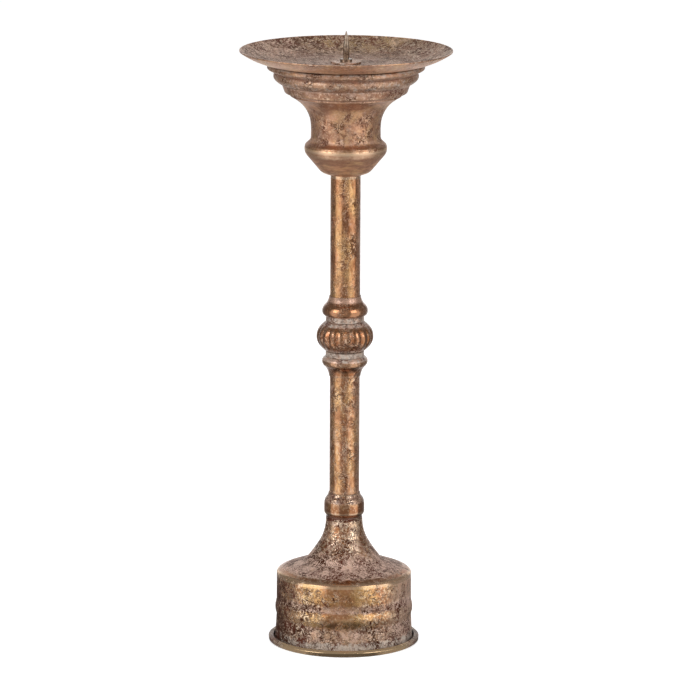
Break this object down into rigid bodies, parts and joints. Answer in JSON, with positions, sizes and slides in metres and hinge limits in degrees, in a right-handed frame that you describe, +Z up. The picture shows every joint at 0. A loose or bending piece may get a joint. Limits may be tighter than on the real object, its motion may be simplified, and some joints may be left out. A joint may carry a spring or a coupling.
{
  "type": "candlestick",
  "caption": "Tall pillar-candle holder of aged copper-coloured metal: wide drip pan with a spike on a tiered cup, tube stem with a fluted knop, and a trumpet foot on a drum.",
  "frame": {"origin": "middle of the foot, on the surface that it stands on", "axes": "+Z up along the stem, towards the spike; -Y is the side that faces the viewer"},
  "size_m": [0.141, 0.141, 0.4132],
  "materials": {
    "aged_copper_sheet": "aged copper finish on spun steel sheet, satin, with dark pits and a pale patina",
    "aged_copper_cast": "aged copper finish on castings, polished on the beads and dull in the hollows",
    "zinc_steel": "zinc-plated fasteners, dulled",
    "spike_steel": "tarnished steel pin",
    "black_rubber": "matt"
  },
  "bodies": {
    "stand": {"base_drum": "aged_copper_sheet", "rim_wire": "zinc_steel", "base_cone": "aged_copper_sheet", "base_bridge": "zinc_steel", "base_washer": "zinc_steel", "base_lock_washer": "zinc_steel", "base_nut": "zinc_steel", "base_ferrule": "aged_copper_cast", "lower_tube": "aged_copper_sheet", "lower_collar": "aged_copper_cast", "knop_lower_sleeve": "aged_copper_cast", "fluted_knop": "aged_copper_cast", "knop_upper_sleeve": "aged_copper_cast", "upper_collar": "aged_copper_cast", "upper_tube": "aged_copper_sheet", "cup_bowl": "aged_copper_sheet", "cup_bell": "aged_copper_sheet", "rod_coupler": "zinc_steel", "coupler_nut": "zinc_steel", "bowl_washer": "zinc_steel", "bowl_nut": "zinc_steel", "tie_rod": "zinc_steel"},
    "seat": {"seat_washer": "black_rubber"},
    "pan": {"drip_pan": "aged_copper_sheet", "candle_spike": "spike_steel", "spike_washer": "zinc_steel", "pan_washer": "zinc_steel", "pan_nut": "zinc_steel"}
  },
  "joints": [
    {"name": "pan_lift", "type": "slide", "parent": "stand", "child": "seat", "axis": [0, 0, 1], "range_m": [0, 0.008]},
    {"name": "pan_unscrew", "type": "hinge", "parent": "seat", "child": "pan", "pos_m": [0, 0, 0.386], "axis": [0, 0, 1], "range_deg": [0, 2880]}
  ],
  "couplings": [
    {"joint": "pan_lift", "follows": "pan_unscrew", "m_per_rad": 0.00015915}
  ]
}
